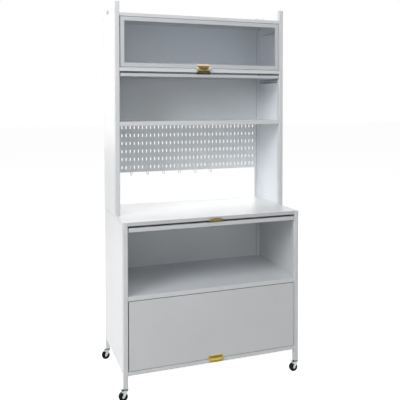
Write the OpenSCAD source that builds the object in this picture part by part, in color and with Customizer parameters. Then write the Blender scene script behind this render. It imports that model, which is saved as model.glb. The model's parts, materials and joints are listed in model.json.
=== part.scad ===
// Wheeled kitchen cabinet: a deep base with a worktop, and a shallower hutch set back on it.
// Four flip-up doors run back into the cabinet on rollers.
// X runs to the right, Y to the back, Z up. The origin is under the middle of the cabinet, on the floor.

/* [Cabinet] */
// Outside width over the posts
cabinet_w = 800; // [640:10:1000]
// Depth of the base, front of the posts to back of the posts
base_d = 420; // [380:5:500]
// Depth of the hutch, measured from the same back
hutch_d = 270; // [250:5:330]
// Side of the square posts
post_w = 20; // [18:1:25]
// Wall of the posts
post_wall = 1.5; // [1:0.25:2]
// Corner radius of the posts
post_r = 2.5; // [2:0.25:4]
// Thickness of the folded sheets
sheet = 1; // [0.8:0.1:1.2]
// Depth of the folds along the side and back sheets
fold = 14; // [13:0.5:15]

/* [Heights] */
// Bottom of the legs above the floor
leg_z = 50; // [50:1:80]
// Top of the bottom shelf
floor_z = 118; // [110:1:160]
// Height of its front lip
floor_lip = 16; // [12:1:24]
// Top of the microwave shelf
shelf_z = 426; // [380:2:460]
// Height of its front lip
shelf_lip = 18; // [12:1:24]
// Top of the worktop
worktop_z = 728; // [700:2:800]
// Height of its front lip
worktop_lip = 15; // [13:1:24]
// Top of the open hutch shelf
upper_z = 1131; // [1100:1:1140]
// Height of its front lip
upper_lip = 17; // [13:1:24]
// Top of the divider between the two hutch cupboards
divider_z = 1365; // [1355:1:1380]
// Height of its front lip
divider_lip = 16; // [14:1:20]
// Top of the roof sheet
roof_z = 1598; // [1590:1:1625]
// Height of its front lip
roof_lip = 14; // [13:1:20]
// Top of the hutch posts and side ears
top_z = 1644; // [1640:1:1700]
// Bottom of the side sheets of the base
skirt_z = 104; // [85:1:140]

/* [Side ears] */
// Length of the front ear, post included
front_ear = 100; // [70:5:110]
// Length of the rear ear, post included
rear_ear = 70; // [50:5:90]
// Drop of the dip between the ears
ear_drop = 32; // [20:1:36]
// Corner radius of the dip
ear_r = 14; // [8:1:18]

/* [Pegboard] */
// Bottom edge of the pegboard
peg_z = 883; // [860:1:900]
// Columns of slots
peg_cols = 37; // [26:1:37]
// Ends of the board to the outer columns
peg_side = 20; // [16:1:40]
// Rows of slots
peg_rows = 6; // [4:1:6]
// Height of one slot
slot_h = 15; // [10:1:18]
// Width of one slot
slot_w = 5; // [4:0.5:6]
// Distance from row to row
row_pitch = 38; // [34:1:40]
// Height of the lowest row above the bottom edge
peg_margin = 23; // [16:1:26]
// Hooks on the lowest row
hook_count = 6; // [2:1:8]
// Wire of the hooks
hook_d = 3; // [2:0.5:3.5]
// How far a hook reaches out
hook_reach = 34; // [20:1:45]
// How far a hook hangs below its slot
hook_drop = 24; // [20:1:40]
// Columns from one hook to the next
hook_step = 4; // [2:1:4]

/* [Doors] */
// Thickness of the sheet doors
door_t = 16; // [14:1:18]
// Thickness of the glass doors
frame_t = 13; // [12:1:16]
// Gap round a closed door
door_gap = 2.5; // [2:0.25:4]
// Gap between a door end and the post
end_gap = 3.5; // [3:0.25:5]
// Gap over a door that is pushed in
stow_gap = 9; // [8:0.5:11]
// Width of the glass door rails
rail_w = 16.5; // [14:0.5:24]
// Thickness of the glass
glass_t = 4; // [3:0.5:5]
// How far the glass reaches under the rails
glass_lap = 6; // [4:0.5:9]
// Width of the folded lip on the back of a sheet door
door_hem = 14; // [10:1:20]

/* [Door runners] */
// Roller diameter
roller_d = 10; // [8:0.5:10]
// Roller width
roller_w = 8; // [5:0.5:10]
// Pin that the door turns on
pin_d = 5; // [4:0.5:6]
// Clearance of the pin in its bracket, on the radius
pin_fit = 0.15; // [0.1:0.05:0.25]
// Clearance of the roller in its runner, on the radius
roller_fit = 0.3; // [0.3:0.05:0.5]
// Wall of the runner
runner_wall = 1; // [0.8:0.1:1.2]
// Thickness of the pivot bracket
bracket_t = 2; // [1.5:0.25:2.5]

/* [Pulls] */
// Width of a door pull
pull_w = 66; // [50:1:80]
// How far it stands out
pull_out = 18; // [12:0.5:19]
// How far it hangs below the door
pull_drop = 10; // [5:0.5:10]
// How far its plate reaches up the door
pull_up = 17.5; // [16:0.5:20]
// Thickness of the brass
pull_t = 1.4; // [1:0.1:2]

/* [Casters] */
// Wheel diameter
wheel_d = 37; // [34:1:37]
// Wheel width
wheel_w = 15; // [12:1:17]
// Wheel axle behind the swivel axis
trail = 10; // [9:0.5:12]
// Axle diameter
axle_d = 6; // [5:0.5:7]
// Swivel race diameter
race_d = 24; // [20:1:26]
// Thickness of the fork metal
fork_t = 1.5; // [1.25:0.25:2]
// Screwed stem in the leg
stem_d = 8; // [6:1:8]
// Length of the stem inside the leg
stem_l = 24; // [18:1:40]

/* [Hidden] */
$fn = 48;

white = [0.93, 0.94, 0.95];
grey_white = [0.86, 0.87, 0.89];
steel = [0.75, 0.76, 0.78];
brass = [0.80, 0.62, 0.25];
black = [0.12, 0.12, 0.13];
glass_tint = [0.60, 0.68, 0.70, 0.45];

seat = 0.2;                                  // gap left where two pieces bolt together
half_w = cabinet_w / 2;
inner_w = half_w - post_w;                   // inner face of the posts
wall_x = half_w - sheet;                     // inner face of a side sheet
front_y = -base_d / 2;
back_y = base_d / 2;
hutch_y = back_y - hutch_d;
back_face_y = back_y - post_w;               // front face of the rear posts
shelf_half = wall_x - seat;
lip_half = inner_w - seat;
front_notch = post_w + sheet + 2 * seat;      // depth that clears a front post and the fold behind it
rear_notch = sheet + seat;                   // depth that clears the fold before a rear post
leg_x = half_w - post_w / 2;
leg_y = base_d / 2 - post_w / 2;

// Closed doors, one row each: bottom of the bay, top of the bay, front, thickness, pushed in at rest
TOP = [divider_z, roof_z - roof_lip, hutch_y, frame_t, false];
MID = [upper_z, divider_z - divider_lip, hutch_y, frame_t, true];
BAY = [shelf_z, worktop_z - worktop_lip, front_y, door_t, true];
BASE = [floor_z, shelf_z - shelf_lip, front_y, door_t, false];
door_half = inner_w - end_gap;
roller_r = roller_d / 2;
runner_h = roller_d / 2 + roller_fit + runner_wall;   // half height of a runner, outside
end_play = 0.6;                                       // roller to the front end of its runner
pivot_back = front_notch + runner_wall + roller_r + end_play; // pivot behind the face of a closed door
function door_bottom(d) = d[0] + door_gap;
function door_top(d) = d[1] - door_gap;
function door_h(d) = door_top(d) - door_bottom(d);
function pivot_z(d) = d[1] - stow_gap - pivot_back;
function arm(d) = pivot_z(d) - door_bottom(d);        // pivot to the lower edge
function shut_y(d) = d[2] + pivot_back;               // pivot of a closed door
function open_y(d) = d[2] + sheet + arm(d);           // pivot of a door pushed in
function travel(d) = open_y(d) - shut_y(d);
runner_in = 1;                                        // a runner starts this far outside the posts
runner_depth = post_w - sheet - runner_in;
roller_side = 1;                                      // side play of a roller at the mouth of its runner
roller_x = inner_w + runner_in + roller_side + roller_w; // outer end of a roller
bracket_in = 1;                                       // pivot bracket inside the door's end
bracket_x = door_half - bracket_in;

// ---- shared shapes ----

module rounded(w, d, r) {
    square([w - 2 * r, d], center = true);
    square([w, d - 2 * r], center = true);
    for (x = [-1, 1], y = [-1, 1])
        translate([x * (w / 2 - r), y * (d / 2 - r)]) circle(r, $fn = 24);
}

module post(height) {
    linear_extrude(height) difference() {
        rounded(post_w, post_w, post_r);
        rounded(post_w - 2 * post_wall, post_w - 2 * post_wall, post_r - post_wall);
    }
}

// Outline of a shelf: narrow between the posts, wide between the side sheets and their folds
function shelf_side(s, y0, y1, inset) = [
    [s * (lip_half - inset), y0 + inset], [s * (lip_half - inset), y0 + front_notch + inset],
    [s * (shelf_half - inset), y0 + front_notch + inset],
    [s * (shelf_half - inset), y1 - rear_notch - inset],
    [s * (lip_half - inset), y1 - rear_notch - inset], [s * (lip_half - inset), y1 - inset]
];
function reversed(list) = [for (i = [len(list) - 1 : -1 : 0]) list[i]];
function shelf_outline(y0, y1, inset) =
    concat(shelf_side(1, y0, y1, inset), reversed(shelf_side(-1, y0, y1, inset)));

// Trays: front, top and height of the lip
FLOOR = [front_y, floor_z, floor_lip];
OVEN = [front_y, shelf_z, shelf_lip];
UPPER = [hutch_y, upper_z, upper_lip];
DIVIDER = [hutch_y, divider_z, divider_lip];
ROOF = [hutch_y, roof_z, roof_lip];
BASE_TRAYS = [FLOOR, OVEN];
HUTCH_TRAYS = [UPPER, DIVIDER, ROOF];
shelf_back_y = back_face_y - seat;
screw_d = 5;
screw_fit = 0.2;
screw_l = 7;                                 // thread inside a post or rail
head_d = 9;
head_h = 2.4;
screw_cut = screw_l + 3;                     // length of a hole on both sides together
screw_stack = 2 * sheet + 3 * seat;          // tray and fold between a screw head and its post

// One screw at each corner of a tray, through the fold of the side sheet into the post
module at_screws(trays) {
    for (t = trays, side = [-1, 1])
        translate([side * leg_x, 0, t[1] - t[2] / 2]) {
            translate([0, t[0] + post_w, 0]) rotate([-90, 0, 0]) children();
            translate([0, back_face_y, 0]) rotate([90, 0, 0]) children();
        }
}
module screw_cuts(trays) {
    at_screws(trays) cylinder(h = screw_cut, r = screw_d / 2 + screw_fit, center = true);
}

// A folded tray: top sheet with an edge turned down all round
module tray(t) {
    difference() {
        translate([0, 0, t[1] - t[2]]) linear_extrude(t[2])
            polygon(shelf_outline(t[0], shelf_back_y, 0));
        translate([0, 0, t[1] - t[2] - 1]) linear_extrude(t[2] - sheet + 1)
            polygon(shelf_outline(t[0], shelf_back_y, sheet));
        screw_cuts([t]);
    }
}

// Sheet in the XY plane with its edges turned up along the four sides of a w by h rectangle
module pan(w, h, depth) {
    difference() {
        cube([w, h, depth]);
        translate([sheet, sheet, sheet]) cube([w - 2 * sheet, h - 2 * sheet, depth]);
    }
}

// The same with two edges only, those at the ends of w
module channel(w, h, depth) {
    difference() {
        cube([w, h, depth]);
        translate([sheet, -1, sheet]) cube([w - 2 * sheet, h + 2, depth]);
    }
}

// ---- frame ----

module rear_post(side) {
    color(white) difference() {
        translate([side * leg_x, leg_y, leg_z]) post(top_z - leg_z);
        screw_cuts(BASE_TRAYS);
        screw_cuts(HUTCH_TRAYS);
    }
}
module base_post(side) {
    color(white) difference() {
        translate([side * leg_x, -leg_y, leg_z]) post(worktop_z - sheet - leg_z);
        screw_cuts(BASE_TRAYS);
    }
}
module hutch_post(side) {
    color(white) difference() {
        translate([side * leg_x, hutch_y + post_w / 2, worktop_z]) post(top_z - worktop_z);
        screw_cuts(HUTCH_TRAYS);
    }
}

cap_t = 2;
plug_w = post_w - 2 * post_wall - 2 * seat;

module post_caps() {
    color(white) for (x = [-1, 1], y = [hutch_y + post_w / 2, leg_y])
        translate([x * leg_x, y, top_z]) {
            linear_extrude(cap_t) rounded(post_w, post_w, post_r);
            translate([0, 0, -10]) linear_extrude(10.5) rounded(plug_w, plug_w, 1);
        }
}

// Bolts up through the rails and the worktop into a plug in each hutch post
bolt_d = 6;
bolt_fit = 0.3;
bolt_head_h = 5;
plug_l = 25;
rail_h = worktop_lip - sheet - 2 * seat;
rail_z = worktop_z - sheet - seat - rail_h;
module at_hutch_bolts() {
    for (x = [-1, 1]) translate([x * leg_x, hutch_y + post_w / 2, 0]) children();
}
module bolt_cuts() {
    at_hutch_bolts() translate([0, 0, rail_z - 1])
        cylinder(h = worktop_z - rail_z + plug_l + 2, r = bolt_d / 2 + bolt_fit);
}
module hutch_post_plugs() {
    color(black) difference() {
        at_hutch_bolts() translate([0, 0, worktop_z]) linear_extrude(plug_l)
            rounded(plug_w, plug_w, 1);
        bolt_cuts();
    }
}
module hutch_bolts() {
    color(steel) at_hutch_bolts() translate([0, 0, rail_z - seat - bolt_head_h]) {
        cylinder(h = bolt_head_h, d = 2 * bolt_d);
        translate([0, 0, bolt_head_h - 0.5])
            cylinder(h = worktop_z - rail_z + plug_l, d = bolt_d);
    }
}

// ---- side and back sheets ----

// A side sheet lies flush with the outer faces of the posts, with its folds behind them
side_y1 = back_face_y - seat;
module side_sheet(side, y0, z0, z1) {
    mirror([side < 0 ? 1 : 0, 0, 0]) translate([half_w, y0 + post_w + seat, z0])
        rotate([90, 0, 90]) mirror([0, 0, 1]) channel(side_y1 - y0 - post_w - seat, z1 - z0, fold);
}
module base_side(side) {
    color(grey_white) difference() {
        side_sheet(side, front_y, skirt_z, worktop_z - worktop_lip - seat);
        screw_cuts(BASE_TRAYS);
    }
}

module ear_cut() {
    y0 = hutch_y + front_ear;
    y1 = back_y - rear_ear;
    depth = ear_drop + 1;
    translate([(y0 + y1) / 2, top_z - ear_drop]) {
        translate([-(y1 - y0) / 2 + ear_r, 0]) square([y1 - y0 - 2 * ear_r, depth]);
        translate([-(y1 - y0) / 2, ear_r]) square([y1 - y0, depth - ear_r]);
        for (s = [-1, 1])
            translate([s * ((y1 - y0) / 2 - ear_r), ear_r]) circle(ear_r);
    }
}

module hutch_side(side) {
    color(grey_white) difference() {
        side_sheet(side, hutch_y, worktop_z, top_z);
        // dip between the two ears, open at the top
        rotate([90, 0, 90]) linear_extrude(cabinet_w + 2, center = true) ear_cut();
        screw_cuts(HUTCH_TRAYS);
    }
}

// Square tubes between the posts that carry the worktop
rail_t = 14;
rail_wall = 1.2;
rail_x0 = wall_x - seat - rail_t;
worktop_screw_in = 70;                       // worktop screws from the posts
worktop_screw_z = worktop_z - worktop_lip / 2;
module at_worktop_screws() {
    for (side = [0, 1], y = [front_y + post_w + worktop_screw_in, back_face_y - worktop_screw_in])
        mirror([side, 0, 0]) translate([half_w, y, worktop_screw_z]) rotate([0, 90, 0]) children();
}
module worktop_screw_cuts() {
    at_worktop_screws() cylinder(h = screw_cut, r = screw_d / 2 + screw_fit, center = true);
}
module base_top_rails() {
    y0 = front_y + post_w + seat;
    color(white) difference() {
        for (side = [0, 1]) mirror([side, 0, 0])
            translate([rail_x0, y0, rail_z]) difference() {
                cube([rail_t, side_y1 - y0, rail_h]);
                translate([rail_wall, -1, rail_wall])
                    cube([rail_t - 2 * rail_wall, side_y1 - y0 + 2, rail_h - 2 * rail_wall]);
            }
        worktop_screw_cuts();
        bolt_cuts();
    }
}

// Back sheets sit between the rear posts, flush with their front faces, folds to the back
module back_sheet(z0, z1) {
    translate([-lip_half, back_face_y, z0]) rotate([90, 0, 0]) mirror([0, 0, 1])
        pan(2 * lip_half, z1 - z0, fold);
}
module base_back() {
    color(grey_white) back_sheet(skirt_z, worktop_z - worktop_lip - seat);
}
module hutch_back() {
    color(grey_white) back_sheet(upper_z - upper_lip, roof_z);
}

peg_top = upper_z - upper_lip - seat;
col_pitch = 2 * (lip_half - peg_side) / (peg_cols - 1);
function slot_x(c) = (c - (peg_cols - 1) / 2) * col_pitch;
function slot_z(r) = peg_z + peg_margin + r * row_pitch;

module slot_shape(w, h) {
    square([w, h - w], center = true);
    for (s = [-1, 1]) translate([0, s * (h - w) / 2]) circle(w / 2, $fn = 16);
}

module pegboard() {
    color(grey_white) {
        translate([0, back_face_y + sheet, 0]) rotate([90, 0, 0]) linear_extrude(sheet) difference() {
            translate([-lip_half, peg_z]) square([2 * lip_half, peg_top - peg_z]);
            for (c = [0 : peg_cols - 1], r = [0 : peg_rows - 1])
                translate([slot_x(c), slot_z(r)]) slot_shape(slot_w, slot_h);
        }
        translate([-lip_half, back_face_y + sheet, peg_z]) difference() {
            cube([2 * lip_half, fold - sheet, peg_top - peg_z]);
            translate([sheet, -1, sheet])
                cube([2 * lip_half - 2 * sheet, fold + 1, peg_top - peg_z - 2 * sheet]);
        }
    }
}

// Wire hook: two bends, a shank through a slot and a plate against the sheet
bend_r = 7;
module bend(r, a) {
    rotate_extrude(angle = a) translate([r, 0]) circle(hook_d / 2, $fn = 20);
}
wire_y = -hook_d / 2 - seat;                 // middle of the wire in front of the board
wire_z = 3;                                  // shank in its slot above the middle of the hook's top
first_hook = 4;                              // column of the first hook
tip_l = 7;                                   // straight tip of a hook
ball_d = hook_d + 1.5;                       // its rounded end
tail_l = 8;                                  // wire that stands up behind the board
module hook() {
    tip_y = wire_y - hook_reach;
    // down the face of the board
    translate([0, wire_y, -hook_drop]) cylinder(h = hook_drop + wire_z, d = hook_d, $fn = 20);
    // through the slot and up behind the sheet
    translate([0, wire_y, wire_z]) rotate([-90, 0, 0])
        cylinder(h = 2 * hook_d + sheet, d = hook_d, $fn = 20);
    translate([0, sheet + seat + hook_d / 2, wire_z - hook_d / 2])
        cylinder(h = tail_l, d = hook_d, $fn = 20);
    // out and up at the front
    translate([0, wire_y - bend_r, -hook_drop]) rotate([0, 90, 0]) rotate([0, 0, -90])
        mirror([1, 0, 0]) bend(bend_r, 90);
    translate([0, wire_y - bend_r, -hook_drop - bend_r]) rotate([90, 0, 0])
        cylinder(h = hook_reach - 2 * bend_r, d = hook_d, $fn = 20);
    translate([0, tip_y + bend_r, -hook_drop]) rotate([0, 90, 0]) rotate([0, 0, -90])
        bend(bend_r, 90);
    translate([0, tip_y, -hook_drop]) cylinder(h = tip_l, d = hook_d, $fn = 20);
    translate([0, tip_y, -hook_drop + tip_l]) sphere(d = ball_d, $fn = 20);
}
module peg_hooks() {
    color(white) for (k = [0 : hook_count - 1])
        translate([slot_x(first_hook + k * hook_step), back_face_y, slot_z(0) - wire_z]) hook();
}

// ---- shelves ----

module bottom_shelf() { color(white) tray(FLOOR); }
module microwave_shelf() { color(white) tray(OVEN); }
module hutch_shelf() { color(white) tray(UPPER); }
module hutch_divider() { color(white) tray(DIVIDER); }
module roof() { color(white) tray(ROOF); }

module worktop() {
    top_r = 3;
    color(white) difference() {
        union() {
            translate([0, 0, worktop_z - sheet]) linear_extrude(sheet)
                rounded(cabinet_w, base_d, top_r);
            difference() {
                translate([-half_w, front_y, worktop_z - worktop_lip])
                    cube([cabinet_w, base_d, worktop_lip - sheet / 2]);
                translate([-half_w + sheet, front_y + sheet, worktop_z - worktop_lip - 1])
                    cube([cabinet_w - 2 * sheet, base_d - 2 * sheet, worktop_lip + 1 - sheet]);
            }
        }
        // front corners clear the base posts
        for (x = [-1, 1])
            translate([x * leg_x, -leg_y, worktop_z - worktop_lip - 1])
                linear_extrude(worktop_lip + 1 - sheet) square(post_w + 2 * seat, center = true);
        // rear corners let the tall posts through
        for (x = [-1, 1])
            translate([x * leg_x, leg_y, worktop_z - worktop_lip - 1])
                linear_extrude(worktop_lip + 2) square(post_w + 2 * seat, center = true);
        bolt_cuts();
        worktop_screw_cuts();
    }
}

// Pan-head screws, hidden inside the trays
module shelf_screws() {
    color(steel) at_screws(concat(BASE_TRAYS, HUTCH_TRAYS)) {
        translate([0, 0, screw_stack]) cylinder(h = head_h, d = head_d);
        translate([0, 0, -screw_l]) cylinder(h = screw_l + screw_stack + 0.5, d = screw_d);
    }
}
module worktop_screws() {
    color(white) at_worktop_screws() {
        translate([0, 0, seat]) cylinder(h = 2, d1 = head_d, d2 = screw_d + 1.5);
        translate([0, 0, -screw_l]) cylinder(h = screw_l + 0.5, d = screw_d);
    }
}

// ---- casters ----

insert_l = stem_l + 4;
race_t = 4;                                  // fixed half of the swivel race
race_z = leg_z - 1.5 - race_t;               // underside of the fixed race
wheel_r = wheel_d / 2;
fork_gap = 0.3;
fork_top = race_z - fork_gap;                // top of the turning half
inner_fork = wheel_w / 2 + 0.8;              // inner face of a fork arm
pedal_back = 5;                              // brake pivot behind the axle
pedal_ear = 3.2;                             // radius of the ear round it, clear of the wheel
pedal_x = -trail - pedal_back;
pedal_z = wheel_r + sqrt(pow(wheel_r + pedal_ear, 2) - pow(pedal_back, 2));
pedal_pin = 3;
kingpin_d = 7;

module leg_inserts() {
    color(black) for (x = [-1, 1], y = [-1, 1])
        translate([x * leg_x, y * leg_y, leg_z]) difference() {
            union() {
                linear_extrude(insert_l) rounded(plug_w, plug_w, 1);
                translate([0, 0, -1.5]) linear_extrude(1.5) rounded(post_w, post_w, post_r);
            }
            translate([0, 0, -2]) cylinder(h = insert_l + 4, d = stem_d + 0.3);
        }
}
module caster_stems() {
    color(steel) for (x = [-1, 1], y = [-1, 1])
        translate([x * leg_x, y * leg_y, 0]) {
            translate([0, 0, race_z]) cylinder(h = stem_l + race_t, d = stem_d);
            translate([0, 0, race_z]) cylinder(h = race_t, d = race_d - 2);
            // kingpin with its riveted head under the fork
            translate([0, 0, fork_top - fork_t - 2 - 1.5]) cylinder(h = 6, d = kingpin_d - 1);
            translate([0, 0, fork_top - fork_t - 2 - 1.8]) cylinder(h = 1.5, d = kingpin_d + 3);
        }
}

// Side view of a fork arm, swivel axis at x = 0: it slants from the crown back to the axle, with an
// ear for the brake pivot
module fork_side() {
    hull() {
        translate([-trail, wheel_r]) circle(axle_d / 2 + 2, $fn = 32);
        translate([4, fork_top - 5]) circle(3, $fn = 32);
        translate([6, fork_top - 2.5]) circle(1, $fn = 32);
        translate([-6, fork_top - 2.5]) circle(1, $fn = 32);
    }
    hull() {
        translate([pedal_x, pedal_z]) circle(pedal_ear, $fn = 32);
        translate([-2, fork_top - 5]) circle(3, $fn = 32);
    }
}

module fork() {
    color(steel) {
        difference() {
            union() {
                for (s = [-1, 1])
                    translate([0, s * (inner_fork + fork_t / 2) + fork_t / 2, 0]) rotate([90, 0, 0])
                        linear_extrude(fork_t) fork_side();
                // crown with the turning race
                translate([0, 0, fork_top - fork_t - 2]) cylinder(h = fork_t + 2, d = race_d);
            }
            translate([0, 0, fork_top - 12]) cylinder(h = 14, d = kingpin_d);
            // keep the wheel clear
            translate([-trail, 0, wheel_r]) rotate([90, 0, 0])
                cylinder(h = 2 * inner_fork, r = wheel_r + 1, center = true);
            translate([pedal_x, 0, pedal_z]) rotate([90, 0, 0])
                cylinder(h = wheel_w * 3, d = pedal_pin + 0.4, center = true);
        }
        // axle, riveted over both arms
        translate([-trail, 0, wheel_r]) rotate([90, 0, 0]) {
            cylinder(h = 2 * inner_fork, d = axle_d, center = true);
            for (s = [-1, 1])
                translate([0, 0, s * (inner_fork + fork_t + 0.6)])
                    cylinder(h = 1.2, d = axle_d + 2, center = true);
        }
    }
}

module wheel() {
    color(black) translate([-trail, 0, wheel_r]) rotate([90, 0, 0]) rotate_extrude() polygon([
        [axle_d / 2 + 0.15, -wheel_w / 2 - 0.4], [axle_d / 2 + 3, -wheel_w / 2 - 0.4],
        [axle_d / 2 + 4, -wheel_w / 2 + 2], [wheel_r - 5, -wheel_w / 2 + 2],
        [wheel_r - 4, -wheel_w / 2], [wheel_r - 1.2, -wheel_w / 2], [wheel_r, -wheel_w / 2 + 1.5],
        [wheel_r, wheel_w / 2 - 1.5], [wheel_r - 1.2, wheel_w / 2], [wheel_r - 4, wheel_w / 2],
        [wheel_r - 5, wheel_w / 2 - 2], [axle_d / 2 + 4, wheel_w / 2 - 2],
        [axle_d / 2 + 3, wheel_w / 2 + 0.4], [axle_d / 2 + 0.15, wheel_w / 2 + 0.4]
    ]);
}

// Foot lever over the wheel: a barrel on its pin and a tread plate that rises beside the leg
pedal_w = wheel_w - 2;
module brake() {
    color(steel) translate([pedal_x, 0, pedal_z]) rotate([90, 0, 0]) {
        cylinder(h = 2 * inner_fork + 2 * fork_t, d = pedal_pin, center = true);
        cylinder(h = 2 * inner_fork - 0.6, d = pedal_pin + 2, center = true);
        translate([0, 0, -pedal_w / 2]) linear_extrude(pedal_w)
            polygon([[-2, 0.5], [0.5, 2], [-4.5, 9.5], [-5.5, 12], [-8, 12.6], [-8.4, 11.2], [-7, 10.6],
                [-6.2, 8.6]]);
    }
}

function caster_turn(x, y) = (x > 0 && y > 0) ? 180 : 0;
module at_caster(x, y) {
    translate([x * leg_x, y * leg_y, 0]) rotate(caster_turn(x, y)) children();
}

// ---- doors ----

// Draws its children for a closed door, turned up and pushed in where the door is so at rest
module at_rest(d) {
    if (d[4]) translate([0, open_y(d), pivot_z(d)]) rotate([-90, 0, 0])
        translate([0, -shut_y(d), -pivot_z(d)]) children();
    else children();
}
module at_rest_rollers(d) {
    translate([0, d[4] ? open_y(d) : shut_y(d), pivot_z(d)]) children();
}

// Folded sheet door: outer skin, four walls and a lip round the back
module sheet_door(d) {
    color(white) at_rest(d) translate([-door_half, d[2], door_bottom(d)]) difference() {
        cube([2 * door_half, d[3], door_h(d)]);
        translate([sheet, sheet, sheet])
            cube([2 * door_half - 2 * sheet, d[3] - 2 * sheet, door_h(d) - 2 * sheet]);
        translate([door_hem, d[3] - sheet - 1, door_hem])
            cube([2 * (door_half - door_hem), sheet + 2, door_h(d) - 2 * door_hem]);
    }
}

glass_y = 4;                                 // front face of the glass behind the face of the frame
module frame_door(d) {
    lap = rail_w - glass_lap;
    color(white) at_rest(d) translate([-door_half, d[2], door_bottom(d)]) difference() {
        cube([2 * door_half, d[3], door_h(d)]);
        translate([rail_w, -1, rail_w])
            cube([2 * (door_half - rail_w), d[3] + 2, door_h(d) - 2 * rail_w]);
        translate([lap, glass_y, lap])
            cube([2 * (door_half - lap), d[3], door_h(d) - 2 * lap]);
    }
}
module frame_glass(d) {
    lap = rail_w - glass_lap + seat;
    color(glass_tint) at_rest(d)
        translate([-door_half + lap, d[2] + glass_y + seat, door_bottom(d) + lap])
            cube([2 * (door_half - lap), glass_t, door_h(d) - 2 * lap]);
}

// Pivot brackets: a foot on the back of the door and an ear that carries the pin
ear_rad = pin_d / 2 + 3.5;
foot_w = door_hem - 2;
module bracket(d) {
    back = d[2] + d[3];
    reach = pivot_back - d[3];
    translate([bracket_x - bracket_t, 0, 0]) difference() {
        union() {
            translate([bracket_t, 0, 0]) rotate([0, -90, 0]) linear_extrude(bracket_t) union() {
                translate([pivot_z(d) - ear_rad, back]) square([2 * ear_rad, reach]);
                translate([pivot_z(d), back + reach]) circle(ear_rad);
            }
            translate([-foot_w + bracket_t, back, pivot_z(d) - ear_rad])
                cube([foot_w, bracket_t, 2 * ear_rad]);
        }
        translate([-5, shut_y(d), pivot_z(d)]) rotate([0, 90, 0])
            cylinder(h = bracket_t + 10, r = pin_d / 2 + pin_fit);
    }
}
module brackets(d) {
    color(steel) at_rest(d) for (side = [0, 1]) mirror([side, 0, 0]) bracket(d);
}

// Pin with its head inside the bracket and its roller in the runner
pin_head_t = 1.8;
pin_x = bracket_x - bracket_t - 0.3;         // the head keeps 0.3 off the bracket
module rollers(d) {
    color(black) at_rest_rollers(d) for (side = [0, 1]) mirror([side, 0, 0]) rotate([0, 90, 0]) {
        translate([0, 0, pin_x - pin_head_t]) cylinder(h = pin_head_t, d = pin_d + 4);
        translate([0, 0, pin_x - 0.5]) cylinder(h = roller_x - pin_x + 0.5, d = pin_d);
        translate([0, 0, roller_x - roller_w]) cylinder(h = roller_w, d = roller_d);
    }
}

rear_play = 3;                               // roller to the rear end of its runner

// Channel on each side sheet, open to the middle, from the post to just past the pushed-in roller
module runners(d) {
    y0 = d[2] + front_notch;
    run = open_y(d) + roller_r + rear_play + runner_wall - y0;
    color(white) for (side = [0, 1]) mirror([side, 0, 0])
        translate([wall_x - runner_depth, y0, pivot_z(d) - runner_h]) difference() {
            cube([runner_depth, run, 2 * runner_h]);
            translate([-1, runner_wall, runner_wall])
                cube([runner_depth - runner_wall + 1, run - 2 * runner_wall,
                    2 * (runner_h - runner_wall)]);
        }
}

// Scoop-shaped pull: a plate on the door that sweeps down and out into a bowed lip, with rolled rims
pull_corner = 9;                             // rounding of its outline seen from the front
pull_bow = 5;                                // bow of the lip's front edge seen from above
pull_rim = 2.2;                              // diameter of the rolled rims
module pull_profile() {
    r = pull_out;
    translate([-pull_t, r - pull_drop]) square([pull_t, pull_up - r + pull_drop]);
    translate([-pull_rim / 2, pull_up - pull_rim / 2]) circle(d = pull_rim);
    intersection() {
        translate([-r, r - pull_drop]) difference() {
            circle(r, $fn = 64);
            circle(r - pull_t, $fn = 64);
        }
        translate([-r, -pull_drop]) square([r, r]);
    }
}
module pull(d) {
    bow_r = (pow(pull_w / 2, 2) + pow(pull_bow, 2)) / (2 * pull_bow);
    height = pull_drop + pull_up;
    color(brass) at_rest(d) translate([0, d[2], door_bottom(d)]) intersection() {
        union() {
            rotate([90, 0, 90]) translate([0, 0, -pull_w]) linear_extrude(2 * pull_w) pull_profile();
            translate([0, bow_r - pull_out, -pull_drop + pull_rim / 2]) rotate_extrude($fn = 180)
                translate([bow_r - pull_rim / 2, 0]) circle(d = pull_rim, $fn = 24);
        }
        translate([0, 0, pull_up - height / 2]) rotate([90, 0, 0])
            linear_extrude(pull_out) rounded(pull_w, height, pull_corner);
        translate([0, bow_r - pull_out, -pull_drop]) cylinder(h = height, r = bow_r, $fn = 180);
    }
}

rear_post(-1);  // rear_post_left
rear_post(1);  // rear_post_right
base_post(-1);  // base_post_left
base_post(1);  // base_post_right
hutch_post(-1);  // hutch_post_left
hutch_post(1);  // hutch_post_right
post_caps();
hutch_post_plugs();
hutch_bolts();
base_side(-1);  // base_side_left
base_side(1);  // base_side_right
hutch_side(-1);  // hutch_side_left
hutch_side(1);  // hutch_side_right
base_top_rails();
base_back();
hutch_back();
pegboard();
peg_hooks();
bottom_shelf();
microwave_shelf();
worktop();
hutch_shelf();
hutch_divider();
roof();
shelf_screws();
worktop_screws();
leg_inserts();
caster_stems();
at_caster(-1, -1) fork();  // fork_front_left
at_caster(1, -1) fork();  // fork_front_right
at_caster(-1, 1) fork();  // fork_rear_left
at_caster(1, 1) fork();  // fork_rear_right
at_caster(-1, -1) wheel();  // wheel_front_left
at_caster(1, -1) wheel();  // wheel_front_right
at_caster(-1, 1) wheel();  // wheel_rear_left
at_caster(1, 1) wheel();  // wheel_rear_right
at_caster(-1, -1) brake();  // brake_front_left
at_caster(1, -1) brake();  // brake_front_right
frame_door(TOP);  // top_door_frame
frame_glass(TOP);  // top_door_glass
brackets(TOP);  // top_door_brackets
rollers(TOP);  // top_door_rollers
pull(TOP);  // top_door_pull
runners(TOP);  // top_door_runners
frame_door(MID);  // mid_door_frame
frame_glass(MID);  // mid_door_glass
brackets(MID);  // mid_door_brackets
rollers(MID);  // mid_door_rollers
pull(MID);  // mid_door_pull
runners(MID);  // mid_door_runners
sheet_door(BAY);  // bay_door_panel
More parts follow.
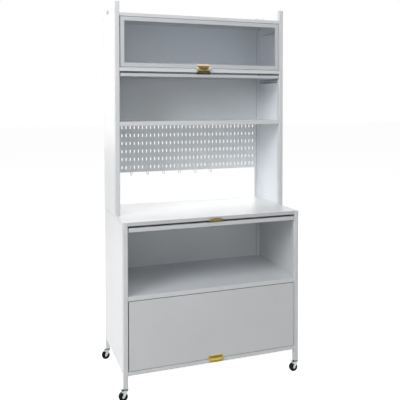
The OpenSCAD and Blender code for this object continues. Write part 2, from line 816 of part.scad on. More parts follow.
brackets(BAY);  // bay_door_brackets
rollers(BAY);  // bay_door_rollers
pull(BAY);  // bay_door_pull
runners(BAY);  // bay_door_runners
sheet_door(BASE);  // base_door_panel
brackets(BASE);  // base_door_brackets
rollers(BASE);  // base_door_rollers
pull(BASE);  // base_door_pull
runners(BASE);  // base_door_runners
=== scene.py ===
"""Looks of a wheeled kitchen cabinet: white sheet steel, glass and brass in soft studio light."""
import json
from math import cos, pi, radians, sin

import bmesh
import bpy
from mathutils import Matrix, Vector


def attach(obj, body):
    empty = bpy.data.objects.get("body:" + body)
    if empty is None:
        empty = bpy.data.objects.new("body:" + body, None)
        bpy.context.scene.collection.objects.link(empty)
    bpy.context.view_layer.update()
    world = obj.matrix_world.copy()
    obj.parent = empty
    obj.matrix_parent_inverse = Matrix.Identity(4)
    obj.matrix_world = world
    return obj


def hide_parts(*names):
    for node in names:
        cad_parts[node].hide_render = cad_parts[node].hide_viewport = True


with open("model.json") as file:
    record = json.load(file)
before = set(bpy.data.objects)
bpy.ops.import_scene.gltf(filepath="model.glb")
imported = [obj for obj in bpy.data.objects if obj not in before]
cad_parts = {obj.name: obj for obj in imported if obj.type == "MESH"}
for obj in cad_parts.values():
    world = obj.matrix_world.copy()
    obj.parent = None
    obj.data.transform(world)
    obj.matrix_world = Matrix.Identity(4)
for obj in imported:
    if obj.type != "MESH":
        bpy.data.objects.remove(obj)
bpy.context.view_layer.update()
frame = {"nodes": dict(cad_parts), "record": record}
NODES = frame["nodes"]


def new_object(name, data):
    obj = bpy.data.objects.new(name, data)
    bpy.context.scene.collection.objects.link(obj)
    return obj


# ---- camera ----

CAMERA_AT = (-0.85515, -2.39545, 1.19993)
CAMERA_TURN = (radians(88.67), radians(0.07), radians(-19.13))
LENS_MM = 49.79
SENSOR_MM = 36.0
SHIFT = (0.01505, -0.2037)
CLIP_START = 0.05


def make_camera():
    data = bpy.data.cameras.new("camera")
    data.lens = LENS_MM
    data.sensor_width = SENSOR_MM
    data.shift_x, data.shift_y = SHIFT
    data.dof.use_dof = False
    data.clip_start = CLIP_START
    camera = new_object("camera", data)
    camera.location = CAMERA_AT
    camera.rotation_euler = CAMERA_TURN
    bpy.context.scene.camera = camera


# ---- node helpers ----


class Nodes:
    """A short way to build the node tree of a material or a world."""

    def __init__(self, owner, output):
        owner.use_nodes = True
        self.owner = owner
        self.tree = owner.node_tree
        self.tree.nodes.clear()
        self.out = self.add(output)

    def add(self, kind, **settings):
        node = self.tree.nodes.new(kind)
        for key, value in settings.items():
            setattr(node, key, value)
        return node

    def link(self, source, target):
        self.tree.links.new(source, target)

    def math(self, operation, *sources):
        """The result of a sum on sockets and numbers."""
        node = self.add("ShaderNodeMath", operation=operation)
        for source, target in zip(sources, node.inputs):
            if isinstance(source, float):
                target.default_value = source
            else:
                self.link(source, target)
        return node.outputs[0]

    def seen(self):
        """1 for what is seen, also through glass or in metal, and 0 for what only gives light."""
        path = self.add("ShaderNodeLightPath").outputs
        direct = self.math("MAXIMUM", path["Is Camera Ray"], path["Is Transmission Ray"])
        return self.math("MAXIMUM", direct, path["Is Glossy Ray"])


class Surface(Nodes):
    """The node tree of a new material, with the inputs that its textures need."""

    def __init__(self, name):
        super().__init__(bpy.data.materials.new(name), "ShaderNodeOutputMaterial")
        texture = self.add("ShaderNodeTexCoord")
        self.coords = texture.outputs["Object"]
        self.normal = texture.outputs["Normal"]

    def axes(self, vector):
        """X, Y and Z of a vector."""
        node = self.add("ShaderNodeSeparateXYZ")
        self.link(vector, node.inputs["Vector"])
        return node.outputs

    def mapping(self, vector, **values):
        """A vector after a turn, a move or a change of scale."""
        node = self.add("ShaderNodeMapping")
        for key, value in values.items():
            node.inputs[key].default_value = value
        self.link(vector, node.inputs["Vector"])
        return node.outputs["Vector"]

    def noise(self, scale, detail=2.0, roughness=0.5, stretch=None):
        node = self.add("ShaderNodeTexNoise")
        node.inputs["Scale"].default_value = scale
        node.inputs["Detail"].default_value = detail
        node.inputs["Roughness"].default_value = roughness
        coords = self.mapping(self.coords, Scale=stretch) if stretch else self.coords
        self.link(coords, node.inputs["Vector"])
        return node.outputs["Fac"]

    def ramp(self, source, *stops):
        """Colours at places along a source of 0 to 1."""
        node = self.add("ShaderNodeValToRGB")
        while len(node.color_ramp.elements) < len(stops):
            node.color_ramp.elements.new(0.5)
        for element, (place, colour) in zip(node.color_ramp.elements, stops):
            element.position = place
            element.color = (*colour, 1.0)
        self.link(source, node.inputs["Fac"])
        return node.outputs["Color"]

    def span(self, source, low, high, start=0.3, end=0.7):
        """From low to high as the source goes from start to end, by default those of a noise."""
        node = self.add("ShaderNodeMapRange")
        node.inputs["From Min"].default_value = start
        node.inputs["From Max"].default_value = end
        node.inputs["To Min"].default_value = low
        node.inputs["To Max"].default_value = high
        self.link(source, node.inputs["Value"])
        return node.outputs["Result"]

    def rise(self, source, start, end):
        """A mask that is 0 up to start and 1 from end."""
        return self.span(source, 0.0, 1.0, start, end)

    def fall(self, source, start, end):
        """A mask that is 1 up to start and 0 from end."""
        return self.span(source, 1.0, 0.0, start, end)

    def open_air(self, distance):
        """1 in the open, towards 0 in corners and hollows: the mask of a painted shade."""
        node = self.add("ShaderNodeAmbientOcclusion", samples=8)
        node.inputs["Distance"].default_value = distance
        return self.rise(node.outputs["AO"], start=0.35, end=0.9)

    def mix(self, factor, low, high):
        """Two colours by a mask; each is a socket or a plain colour."""
        node = self.add("ShaderNodeMix", data_type="RGBA")
        self.link(factor, node.inputs["Factor"])
        for source, target in ((low, node.inputs[6]), (high, node.inputs[7])):
            if isinstance(source, tuple):
                target.default_value = (*source, 1.0)
            else:
                self.link(source, target)
        return node.outputs[2]

    def bump(self, height, strength, distance, below=None):
        node = self.add("ShaderNodeBump")
        node.inputs["Strength"].default_value = strength
        node.inputs["Distance"].default_value = distance
        self.link(height, node.inputs["Height"])
        if below:
            self.link(below, node.inputs["Normal"])
        return node.outputs["Normal"]

    def shader(self, colour, roughness, normal, **values):
        """The principled shader, with uniform numbers under their socket's name."""
        node = self.add("ShaderNodeBsdfPrincipled")
        for key, value in values.items():
            node.inputs[key.replace("_", " ")].default_value = value
        self.link(colour, node.inputs["Base Color"])
        if roughness:
            self.link(roughness, node.inputs["Roughness"])
        self.link(normal, node.inputs["Normal"])
        self.link(node.outputs["BSDF"], self.out.inputs["Surface"])
        return self.owner


def shade(colour, factor):
    return tuple(min(1.0, c * factor) for c in colour)


# ---- sizes and places of the solids, in metres ----

LEG_X = 0.390                                # middle of the posts, to either side
FRONT_Y = -0.210                             # front face of the base
HUTCH_Y = -0.060                             # front face of the hutch
REAR_FACE_Y = 0.190                          # front face of the rear posts
POST_W = 0.020
SHEET = 0.001
DOOR_HALF = 0.3765                           # half the width of a door
DOOR_GAP = 0.0025                            # round a closed door
STOW_GAP = 0.009                             # over a door pushed in
PIVOT_BACK = 0.028                           # pivot behind the face of a closed door
PULL_UP = 0.010                              # middle of a pull's half-moon over the door's edge
RAIL_W = 0.0165                              # rails of a glass door's frame
GLASS_FRONT = 0.0042                         # faces of the glass behind the face of its frame
GLASS_BACK = 0.0082
GLASS_LAP = 0.006
SEAL_GAP = 0.00002                           # between the glass and its lip or bead
BEAD_GAP = 0.0001                            # between the bead and its rebate
BRACKET_T = 0.002
RIVET_X = 0.3682                             # rivets of the brackets, to either side
RUNNER_H = 0.0063                            # half height of a runner
RUNNER_MOUTH = 0.381                         # its open side and its closed side
RUNNER_WALL = 0.399
RUNNER_LIP = 0.0007                          # thickness of the lips at its mouth
RUNNER_SLOT = 0.0029                         # half height of the slot between them
RUNNER_START = 0.0214                        # its front end behind the face of a closed door
RUNNER_END = 0.009                           # its rear end behind the pivot of a door pushed in
WORKTOP_SCREW = (0.4022, 0.120, 0.7205)      # face of a screw's head in the worktop's side
SCREW_OUT = 0.005                            # face of a tray screw's head from its post
TRAYS = (                                    # front face, top and lip height of each tray
    (FRONT_Y, 0.118, 0.016),
    (FRONT_Y, 0.426, 0.018),
    (HUTCH_Y, 1.131, 0.017),
    (HUTCH_Y, 1.365, 0.016),
    (HUTCH_Y, 1.598, 0.014),
)


class Door:
    """A flip-up door, described closed, and the turn that takes it to where it rests."""

    def __init__(self, name, below, above, front, thick, stowed):
        self.name = name
        self.body = name + "_door"
        self.bottom = below + DOOR_GAP
        self.top = above - DOOR_GAP
        self.front = front
        self.back = front + thick
        self.pivot_z = above - STOW_GAP - PIVOT_BACK
        self.shut_y = front + PIVOT_BACK
        self.open_y = front + SHEET + self.pivot_z - self.bottom
        self.place = Matrix.Identity(4)
        if stowed:
            self.place = (Matrix.Translation((0, self.open_y, self.pivot_z))
                          @ Matrix.Rotation(-pi / 2, 4, "X")
                          @ Matrix.Translation((0, -self.shut_y, -self.pivot_z)))

    def into_pull(self):
        """The two steps from the place at rest to the middle of the pull's half-moon."""
        return (self.place.inverted(),
                Matrix.Translation((0, -self.front, -self.bottom - PULL_UP)))


TOP = Door("top", below=1.365, above=1.584, front=HUTCH_Y, thick=0.013, stowed=False)
MID = Door("mid", below=1.131, above=1.349, front=HUTCH_Y, thick=0.013, stowed=True)
BAY = Door("bay", below=0.426, above=0.713, front=FRONT_Y, thick=0.016, stowed=True)
BASE = Door("base", below=0.118, above=0.408, front=FRONT_Y, thick=0.016, stowed=False)

# ---- materials ----

INNER_WHITE = (0.80, 0.832, 0.855)
# painted shade on the trays' faces that look to the front, the back and down
TRAY_EDGE_SHADE = (0.68, 0.695, 0.71)
# copies of one white: the sides a lit copy (painted light), the fronts of doors and frames shaded
# copies (painted shade)
SIDE_WHITE = (0.84, 0.85, 0.862)
DOOR_WHITE = (0.635, 0.645, 0.66)
FRAME_SHADED_WHITE = (0.57, 0.59, 0.615)
# painted shade in the groove over a door
GROOVE_SHADE = (0.16, 0.165, 0.17)
DOOR_ROUGHNESS = 0.38
GROOVE = (-0.004, -0.003)                    # where the painted shade of a groove sets in, from a door's top
MOON_HALF = 0.0295                           # half width and height of the half-moon of painted shade on a pull
MOON_HIGH = 0.0190
MOON_ROUND = (0.86, 1.06)                    # its round border, as a share of its size
MOON_STRAIGHT = (-0.001, 0.0012)             # its straight border; heights count from this one
MOON_TONES = (-0.012, -0.003)                # from the painted shade of its foot to that of its top
CREST_HIGHLIGHT = (0.0022, 0.0044)                     # where the painted highlight on the crest of a pull sets in


def powder_coat(name, colour, roughness=0.42, peel=0.10, edge=None, inner=None, groove_shade_top=None):
    """White powder coat: orange peel of about a millimetre, and faint cloudy differences in tone.

    Where edge is given, it is a painted shade on the faces that look to the front, the back and
    down.
    Where inner is given, it is a painted shade (base) and a painted light (hutch) on the faces
    that look towards the middle of the cabinet. The last argument is the height of a door's top;
    the faces that look up from there carry a painted shade of the groove over the door.
    """
    n = Surface(name)
    cloud = n.noise(5.0, detail=3.0)
    coat = n.ramp(cloud, (0.30, shade(colour, 0.975)), (0.70, shade(colour, 1.015)))
    facing, place = n.axes(n.normal), n.axes(n.coords)
    # painted shade on the faces that look to the front, the back and down
    if edge:
        plain = n.math("MAXIMUM", facing["Z"], n.math("ABSOLUTE", facing["X"]))
        coat = n.mix(n.rise(plain, start=0.2, end=0.9), edge, coat)
    # painted shade inside the base and painted light inside the hutch, on the faces that look
    # inwards
    if inner:
        outwards = n.math("MULTIPLY", facing["X"], place["X"])
        coat = n.mix(n.rise(outwards, start=-0.3, end=-0.1), inner, coat)
    # painted shade of the groove over a door, on the faces that look up at its top
    if groove_shade_top:
        upwards = n.rise(facing["Z"], start=0.5, end=0.8)
        high = n.rise(place["Z"], *(groove_shade_top + depth for depth in GROOVE))
        coat = n.mix(n.math("MULTIPLY", upwards, high), coat, GROOVE_SHADE)
    gloss = n.span(n.noise(38.0, detail=4.0), roughness - 0.05, roughness + 0.06)
    fine = n.bump(n.noise(1900.0, detail=1.0), strength=peel, distance=0.00012)
    waves = n.bump(n.noise(420.0), strength=peel * 1.4, distance=0.00025, below=fine)
    return n.shader(coat, gloss, waves, Specular_IOR_Level=0.45, Coat_Weight=0.12,
                    Coat_Roughness=0.25)


def zinc(name, colour=(0.78, 0.79, 0.81), roughness=0.22, dark=0.22):
    """Bright zinc: a mirror with small blotches and rolling marks, and a painted shade in its
    hollows.
    """
    n = Surface(name)
    blot = n.noise(160.0, detail=4.0, roughness=0.6)
    plate = n.ramp(blot, (0.30, shade(colour, 0.86)), (0.72, shade(colour, 1.08)))
    # painted shade in corners and hollows
    tone = n.mix(n.open_air(distance=0.008), shade(colour, dark), plate)
    gloss = n.span(n.noise(90.0, detail=5.0), roughness - 0.08, roughness + 0.16)
    marks = n.bump(n.noise(700.0, stretch=(1.0, 0.15, 1.0)), strength=0.12, distance=0.0001)
    return n.shader(tone, gloss, marks, Metallic=1.0)


def brass(name, door, bright, crest_highlight, upper, lower):
    """Brass, one copy for each pull, with painted light: a painted tone of light and shade on the
    rims, a painted highlight at the crest, and a painted shade and reflection in the half-moon of
    the scoop, from upper at its straight edge to lower at its foot."""
    n = Surface(name)
    local = n.coords
    for step in door.into_pull():
        local = n.mapping(local, Location=step.to_translation(), Rotation=step.to_euler())
    height = n.axes(local)["Z"]
    reach = n.add("ShaderNodeVectorMath", operation="LENGTH")
    n.link(n.mapping(local, Scale=(1 / MOON_HALF, 0.0, 1 / MOON_HIGH)), reach.inputs[0])
    # painted shade and painted reflection in the half-moon of the scoop
    moon = n.math("MULTIPLY", n.fall(reach.outputs["Value"], *MOON_ROUND),
                  n.fall(height, *MOON_STRAIGHT))
    rim_mottle = n.noise(55.0, detail=3.0)
    # painted light and shade on the rims, with a painted highlight at the crest
    rim = n.mix(n.rise(height, *CREST_HIGHLIGHT),
                n.ramp(rim_mottle, (0.28, shade(bright, 0.86)), (0.72, shade(bright, 1.12))), crest_highlight)
    hollow_mottle = n.noise(90.0, detail=4.0)
    foot, edge = (n.ramp(hollow_mottle, (0.30, shade(tone, 0.75)), (0.72, shade(tone, 1.3)))
                  for tone in (lower, upper))
    scoop = n.mix(n.rise(height, *MOON_TONES), foot, edge)
    gloss = n.span(n.noise(260.0, detail=4.0), 0.28, 0.46)
    marks = n.bump(n.noise(900.0, stretch=(0.06, 1.0, 1.0)), strength=0.10, distance=0.00008)
    return n.shader(n.mix(moon, rim, scoop), gloss, marks, Metallic=1.0, Coat_Weight=0.15,
                    Coat_Roughness=0.15)


def rubber(name):
    """Black tyre rubber with a trace of dust."""
    n = Surface(name)
    dust = n.noise(120.0, detail=5.0, roughness=0.65)
    tone = n.ramp(dust, (0.35, (0.004, 0.004, 0.005)), (0.80, (0.020, 0.020, 0.020)))
    gloss = n.span(n.noise(300.0, detail=3.0), 0.45, 0.75)
    grain = n.bump(n.noise(1500.0), strength=0.25, distance=0.0002)
    return n.shader(tone, gloss, grain, Specular_IOR_Level=0.12)


def nylon(name, colour):
    """Moulded nylon with a fine matt grain."""
    n = Surface(name)
    tone = n.ramp(n.noise(60.0, detail=3.0), (0.3, shade(colour, 0.8)), (0.7, shade(colour, 1.25)))
    gloss = n.span(n.noise(200.0, detail=3.0), 0.40, 0.58)
    grain = n.bump(n.noise(2200.0, detail=1.0), strength=0.2, distance=0.00015)
    return n.shader(tone, gloss, grain, Specular_IOR_Level=0.4)


def galvanised(name):
    """Galvanised steel: grey with long drawing marks."""
    n = Surface(name)
    streak = n.noise(60.0, detail=4.0, stretch=(1.0, 0.06, 1.0))
    tone = n.ramp(streak, (0.3, (0.50, 0.51, 0.53)), (0.7, (0.66, 0.67, 0.69)))
    gloss = n.span(n.noise(80.0, detail=4.0), 0.32, 0.50)
    marks = n.bump(streak, strength=0.15, distance=0.0001)
    return n.shader(tone, gloss, marks, Metallic=1.0)


def clear_glass(name):
    """Tempered glass: clear, faintly grey, with the slow ripple of rolled sheet."""
    n = Surface(name)
    tone = n.ramp(n.noise(3.0), (0.3, (0.75, 0.775, 0.815)), (0.7, (0.79, 0.815, 0.85)))
    ripple = n.bump(n.noise(9.0, detail=1.0), strength=0.05, distance=0.0004)
    return n.shader(tone, None, ripple, Transmission_Weight=1.0, IOR=1.45, Roughness=0.02)


COATS = {
    "powder_white": dict(colour=(0.77, 0.785, 0.80)),
    "inner_white": dict(colour=INNER_WHITE),
    # the trays' lips and undersides carry a painted shade
    "tray_white": dict(colour=INNER_WHITE, edge=TRAY_EDGE_SHADE),
    # a darker copy of the inner white: painted shade inside the bay
    "bay_white": dict(colour=(0.690, 0.722, 0.750), edge=TRAY_EDGE_SHADE),
    # a lighter copy of the white: painted light against the shade the runners stand in
    "runner_white": dict(colour=(0.93, 0.94, 0.95)),
    "board_white": dict(colour=(0.86, 0.89, 0.912)),
    # a shaded copy of the white for the posts: painted shade
    "post_white": dict(colour=(0.69, 0.70, 0.712)),
    # a lit copy for the post seen from the side: painted light
    "side_post_white": dict(colour=SIDE_WHITE),
    # the worktop's lip carries a painted shade
    "worktop_white": dict(colour=(0.80, 0.81, 0.82), edge=(0.57, 0.585, 0.60)),
    # the inner faces of the sides: a painted shade in the base and a painted light in the hutch
    "base_side_white": dict(colour=SIDE_WHITE, inner=(0.66, 0.68, 0.69)),
    "hutch_side_white": dict(colour=SIDE_WHITE, inner=(0.89, 0.935, 0.97)),
    # the frames of the glass doors: a darker, shaded copy of the doors' white, painted shade
    "frame_grey": dict(colour=FRAME_SHADED_WHITE, roughness=DOOR_ROUGHNESS),
    "top_frame_grey": dict(colour=FRAME_SHADED_WHITE, roughness=DOOR_ROUGHNESS, groove_shade_top=TOP.top),
    "base_door_white": dict(colour=DOOR_WHITE, roughness=DOOR_ROUGHNESS, groove_shade_top=BASE.top),
    "door_white": dict(colour=DOOR_WHITE, roughness=DOOR_ROUGHNESS),
    "hook_white": dict(colour=(0.93, 0.93, 0.94), roughness=0.3, peel=0.04),
}
# dark sets the tone of the painted shade in each part's hollows
ZINCS = {
    "zinc": {},
    "fork_zinc": dict(colour=(0.46, 0.485, 0.50), roughness=0.30, dark=0.5),
    "race_zinc": dict(colour=(0.17, 0.175, 0.18), roughness=0.35),
    "brake_zinc": dict(colour=(0.66, 0.69, 0.70), roughness=0.25, dark=0.6),
}
# lit and shaded copies of one brass, one for each pull: painted light and shade on the rims, a
# painted highlight on the crest and painted shade in the half-moon
BRASSES = {
    "brass_top": dict(door=TOP, bright=(0.54, 0.45, 0.31), crest_highlight=(0.92, 0.76, 0.58),
                      upper=(0.16, 0.115, 0.030), lower=(0.085, 0.050, 0.010)),
    "brass_mid": dict(door=MID, bright=(0.075, 0.060, 0.018), crest_highlight=(0.20, 0.16, 0.07),
                      upper=(0.10, 0.078, 0.024), lower=(0.10, 0.078, 0.024)),
    "brass_bay": dict(door=BAY, bright=(0.18, 0.130, 0.038), crest_highlight=(0.25, 0.20, 0.09),
                      upper=(0.24, 0.16, 0.04), lower=(0.24, 0.16, 0.04)),
    "brass_base": dict(door=BASE, bright=(0.38, 0.285, 0.06), crest_highlight=(0.50, 0.47, 0.39),
                       upper=(0.13, 0.092, 0.012), lower=(0.44, 0.33, 0.06)),
}
NYLONS = {
    "black_plastic": dict(colour=(0.045, 0.045, 0.05)),
    "white_nylon": dict(colour=(0.66, 0.67, 0.67)),
    "vinyl": dict(colour=(0.36, 0.37, 0.38)),
    "slot_black": dict(colour=(0.03, 0.03, 0.032)),
}
MATERIALS = {
    name: make(name, **values)
    for make, looks in ((powder_coat, COATS), (zinc, ZINCS), (brass, BRASSES),
                        (rubber, {"tyre": {}}), (nylon, NYLONS),
                        (galvanised, {"steel": {}}), (clear_glass, {"glass": {}}))
    for name, values in looks.items()
}

# nodes whose look is not the one of their slot in the record
LOOKS = {
    "base_side_white": ("base_side_left", "base_side_right"),
    "hutch_side_white": ("hutch_side_left", "hutch_side_right"),
    "inner_white": ("base_back", "hutch_back"),
    "board_white": ("pegboard",),
    "tray_white": ("bottom_shelf", "hutch_shelf", "hutch_divider", "roof"),
    "bay_white": ("microwave_shelf",),
    "worktop_white": ("worktop",),
    # the left rear post, on the lit side, takes the lit copy of the white; the other posts take
    # the shaded copy
    "side_post_white": ("rear_post_left",),
    "post_white": ("rear_post_right", "base_post_left", "base_post_right", "hutch_post_left",
                   "hutch_post_right"),
    "top_frame_grey": ("top_door_frame",),
    "frame_grey": ("mid_door_frame",),
    "base_door_white": ("base_door_panel",),
    "fork_zinc": ("fork_front_left", "fork_front_right", "fork_rear_left", "fork_rear_right"),
    "brake_zinc": ("brake_front_left", "brake_front_right"),
    "race_zinc": ("caster_stems",),
    "brass_top": ("top_door_pull",),
    "brass_mid": ("mid_door_pull",),
    "brass_bay": ("bay_door_pull",),
    "brass_base": ("base_door_pull",),
}


# a bevel takes hold only where faces share sharp edges; of the CAD nodes only the pulls have some
PULLS = ("top_door_pull", "mid_door_pull", "bay_door_pull", "base_door_pull")
SOFT_EDGES = dict(width=0.0003, segments=2, limit_method="ANGLE", angle_limit=radians(38),
                  harden_normals=True)


def dress_cad():
    """Each CAD node takes its look from the list above, or else from its slot in the record."""
    looks = {node: look for look, nodes in LOOKS.items() for node in nodes}
    for row in frame["record"]["subparts"]:
        materials = NODES[row["node"]].data.materials
        materials.clear()
        materials.append(MATERIALS[looks.get(row["node"], row["material_slot"])])
    for name in PULLS:
        soft = NODES[name].modifiers.new("soft_edges", "BEVEL")
        for key, value in SOFT_EDGES.items():
            setattr(soft, key, value)


# ---- details ----

# turns that point +Z to the front, to the back and to either side
TO_FRONT = Matrix.Rotation(pi / 2, 4, "X")
TO_BACK = Matrix.Rotation(-pi / 2, 4, "X")
TO_SIDE = {-1: Matrix.Rotation(-pi / 2, 4, "Y"), 1: Matrix.Rotation(pi / 2, 4, "Y")}

SMOOTH_BELOW = radians(32)
LATHE_STEPS = 24
RIVET = (                                    # radius, height
    (0.0, 0.0), (0.0029, 0.0), (0.0028, 0.0004), (0.0023, 0.0009), (0.0015, 0.0012),
    (0.0007, 0.0013), (0.0, 0.00133),
)
GLASS_LIP = (                                # inwards, back from the glass's front
    (0.0, 0.0), (0.0026, 0.0), (0.0025, -0.0006), (0.0015, -0.0017), (0.0004, -0.0021),
    (0.0, -0.0021),
)
GLASS_BEAD = (                               # inwards, back from the glass's back
    (0.0, 0.0), (0.0058, 0.0), (0.0058, 0.0014), (0.0052, 0.0026), (0.0040, 0.0036),
    (0.0022, 0.0042), (0.0, 0.0043),
)
CROSS_T = 0.00003                            # thickness of a screw's dark cross
WORKTOP_CROSS = (0.0022, 0.0009)             # reach and width of the crosses
TRAY_CROSS = (0.0026, 0.0010)


def piece(name, bm, look, body):
    """Finish a mesh as an object that rides on a body."""
    bmesh.ops.recalc_face_normals(bm, faces=bm.faces)
    mesh = bpy.data.meshes.new(name)
    bm.to_mesh(mesh)
    bm.free()
    for face in mesh.polygons:
        face.use_smooth = True
    mesh.set_sharp_from_angle(angle=SMOOTH_BELOW)
    mesh.materials.append(MATERIALS[look])
    obj = new_object(name, mesh)
    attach(obj, body)
    return obj


def band(bm, ring, after):
    """Quads between two closed rings."""
    for i in range(len(ring)):
        j = (i + 1) % len(ring)
        bm.faces.new((ring[i], ring[j], after[j], after[i]))


def prism(bm, start, end):
    """A solid between two outlines, each a list of points."""
    rings = [[bm.verts.new(point) for point in outline] for outline in (start, end)]
    for ring in rings:
        bm.faces.new(ring)
    band(bm, *rings)


def lathe(bm, profile, place):
    """Turn a profile of (radius, height) round the Z axis of place."""
    rings = []
    for radius, height in profile:
        turns = LATHE_STEPS if radius else 1
        rings.append([bm.verts.new(place @ Vector((radius * cos(2 * pi * i / LATHE_STEPS),
                                                   radius * sin(2 * pi * i / LATHE_STEPS),
                                                   height)))
                      for i in range(turns)])
    for low, high in zip(rings, rings[1:]):
        for i in range(LATHE_STEPS):
            j = (i + 1) % LATHE_STEPS
            corners = []
            for vert in (low[i % len(low)], low[j % len(low)],
                         high[j % len(high)], high[i % len(high)]):
                if vert not in corners:
                    corners.append(vert)
            if len(corners) > 2:
                bm.faces.new(corners)


def cross(bm, reach, width, place):
    """The cross slot of a screw, as a thin dark cross on its head."""
    r, w = reach, width / 2
    outline = [(w, w), (w, r), (-w, r), (-w, w), (-r, w), (-r, -w),
               (-w, -w), (-w, -r), (w, -r), (w, -w), (r, -w), (r, w)]
    prism(bm, *([place @ Vector((x, y, z)) for x, y in outline] for z in (0.0, CROSS_T)))


def mitred_loop(bm, half, z0, z1, profile, place):
    """A moulding round a rectangle; the profile's points are (inwards from its edge, y)."""
    rings = []
    for sx, sz in ((-1, -1), (1, -1), (1, 1), (-1, 1)):
        rings.append([bm.verts.new(place @ Vector((sx * (half - u), y,
                                                   z0 + u if sz < 0 else z1 - u)))
                      for u, y in profile])
    for ring, after in zip(rings, rings[1:] + rings[:1]):
        band(bm, ring, after)


def glass_seal(door, name, look, profile, y, inset):
    """A moulding all round the glass, from y on and inset from the door's edge."""
    bm = bmesh.new()
    mitred_loop(bm, DOOR_HALF - inset, door.bottom + inset, door.top - inset,
                [(u, y + v) for u, v in profile], door.place)
    piece(door.name + name, bm, look, door.body)


def glass_seals(door):
    """A soft lip in front of the glass, and the bead behind it that holds it in its rebate."""
    glass_seal(door, "_glass_lip", "vinyl", GLASS_LIP,
               door.front + GLASS_FRONT - SEAL_GAP, RAIL_W)
    glass_seal(door, "_glass_bead", "frame_grey", GLASS_BEAD,
               door.front + GLASS_BACK + SEAL_GAP, RAIL_W - GLASS_LAP + BEAD_GAP)


def runners(door):
    """Channels with lips at the mouth that leave a slot for the pins, closed at both ends."""
    low, high, slot = -RUNNER_H, RUNNER_H, RUNNER_SLOT
    mouth, wall, lip = RUNNER_MOUTH, RUNNER_WALL, RUNNER_MOUTH + RUNNER_LIP
    plate = [(mouth, low), (wall, low), (wall, high), (mouth, high)]
    section = plate + [(mouth, slot), (lip, slot), (lip, high - SHEET),
                       (wall - SHEET, high - SHEET), (wall - SHEET, low + SHEET),
                       (lip, low + SHEET), (lip, -slot), (mouth, -slot)]
    y0 = door.front + RUNNER_START
    y1 = door.open_y + RUNNER_END
    bm = bmesh.new()
    for side in (-1, 1):
        for outline, *ends in ((section, y0 + SHEET, y1 - SHEET), (plate, y0, y0 + SHEET),
                               (plate, y1 - SHEET, y1)):
            prism(bm, *([(side * x, y, door.pivot_z + z) for x, z in outline] for y in ends))
    obj = piece(door.name + "_runner_pair", bm, "runner_white", "cabinet")
    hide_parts(door.name + "_door_runners")


def bracket_rivets(door):
    bm = bmesh.new()
    for side in (-1, 1):
        at = Matrix.Translation((side * RIVET_X, door.back + BRACKET_T, door.pivot_z))
        lathe(bm, RIVET, door.place @ at @ TO_BACK)
    piece(door.name + "_bracket_rivets", bm, "zinc", door.body)


def screw_crosses():
    """Cross slots of the screws of the worktop and of the trays."""
    x, y, z = WORKTOP_SCREW
    bm = bmesh.new()
    for side in (-1, 1):
        for end in (-1, 1):
            at = Matrix.Translation((side * x, end * y, z))
            cross(bm, *WORKTOP_CROSS, at @ TO_SIDE[side])
        for front, top, lip in TRAYS:
            for face, turn in ((front + POST_W + SCREW_OUT, TO_BACK),
                               (REAR_FACE_Y - SCREW_OUT, TO_FRONT)):
                at = Matrix.Translation((side * LEG_X, face, top - lip / 2))
                cross(bm, *TRAY_CROSS, at @ turn)
    piece("screw_crosses", bm, "slot_black", "cabinet")


def add_details():
    for door in (TOP, MID, BAY, BASE):
        bracket_rivets(door)
        runners(door)
    for door in (TOP, MID):
        glass_seals(door)
    screw_crosses()


# ---- floor, backdrop and light ----

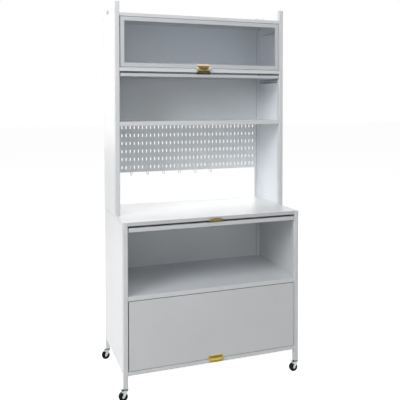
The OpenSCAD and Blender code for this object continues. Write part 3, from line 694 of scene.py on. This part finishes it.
FLOOR_HALF = 30.0
FLOOR_GREY = (0.80, 0.80, 0.80, 1.0)
WHITE_LIGHT = (1.0, 1.0, 1.0, 1.0)
FLOOR_LIFT = 0.82                            # glow of the floor, only where it is seen
WORLD_LIGHT = 0.20                           # even light from all sides
LAMPS = {                                    # place, aim, size and watts
    "key": ((-3.2, -1.8, 2.55), (0.0, 0.0, 1.0), (1.8, 1.8), 76.0),
    "fill": ((-0.6, -4.0, 2.4), (0.0, 0.0, 1.0), (2.0, 2.0), 11.0),
    "top": ((-0.3, -1.9, 3.3), (0.0, 0.0, 1.0), (3.0, 1.8), 32.0),
    "back": ((0.0, 2.6, 1.9), (0.0, 0.0, 0.8), (4.0, 2.4), 42.0),
}
UNSEEN_LAMP = "back"                         # it stands in the camera's view


def make_floor():
    """A pale floor that shows as white and keeps the soft shadow of the cabinet."""
    mesh = bpy.data.meshes.new("floor")
    half = FLOOR_HALF
    mesh.from_pydata([(-half, -half, 0), (half, -half, 0), (half, half, 0), (-half, half, 0)],
                     [], [(0, 1, 2, 3)])
    floor = new_object("floor", mesh)
    n = Nodes(bpy.data.materials.new("floor"), "ShaderNodeOutputMaterial")
    diffuse = n.add("ShaderNodeBsdfDiffuse")
    diffuse.inputs["Color"].default_value = FLOOR_GREY
    lift = n.add("ShaderNodeEmission")
    n.link(n.math("MULTIPLY", n.seen(), FLOOR_LIFT), lift.inputs["Strength"])
    both = n.add("ShaderNodeAddShader")
    n.link(diffuse.outputs[0], both.inputs[0])
    n.link(lift.outputs[0], both.inputs[1])
    n.link(both.outputs[0], n.out.inputs["Surface"])
    mesh.materials.append(n.owner)


def make_world():
    """White behind the cabinet and in its metal and glass, and a plain even light on it."""
    world = bpy.data.worlds.new("studio")
    bpy.context.scene.world = world
    n = Nodes(world, "ShaderNodeOutputWorld")
    mix = n.add("ShaderNodeMixShader")
    n.link(n.seen(), mix.inputs["Fac"])
    for strength, target in ((WORLD_LIGHT, mix.inputs[1]), (1.0, mix.inputs[2])):
        plain = n.add("ShaderNodeBackground")
        plain.inputs["Color"].default_value = WHITE_LIGHT
        plain.inputs["Strength"].default_value = strength
        n.link(plain.outputs[0], target)
    n.link(mix.outputs[0], n.out.inputs["Surface"])


def make_lights():
    for name, (at, aim, size, watts) in LAMPS.items():
        data = bpy.data.lights.new(name, "AREA")
        data.shape = "RECTANGLE"
        data.size, data.size_y = size
        data.energy = watts
        lamp = new_object(name, data)
        lamp.location = at
        lamp.rotation_euler = (Vector(aim) - Vector(at)).to_track_quat("-Z", "Y").to_euler()
        lamp.visible_camera = name != UNSEEN_LAMP


make_camera()
make_world()
make_floor()
make_lights()
dress_cad()
add_details()

scene = bpy.context.scene
scene.view_settings.view_transform = "Standard"
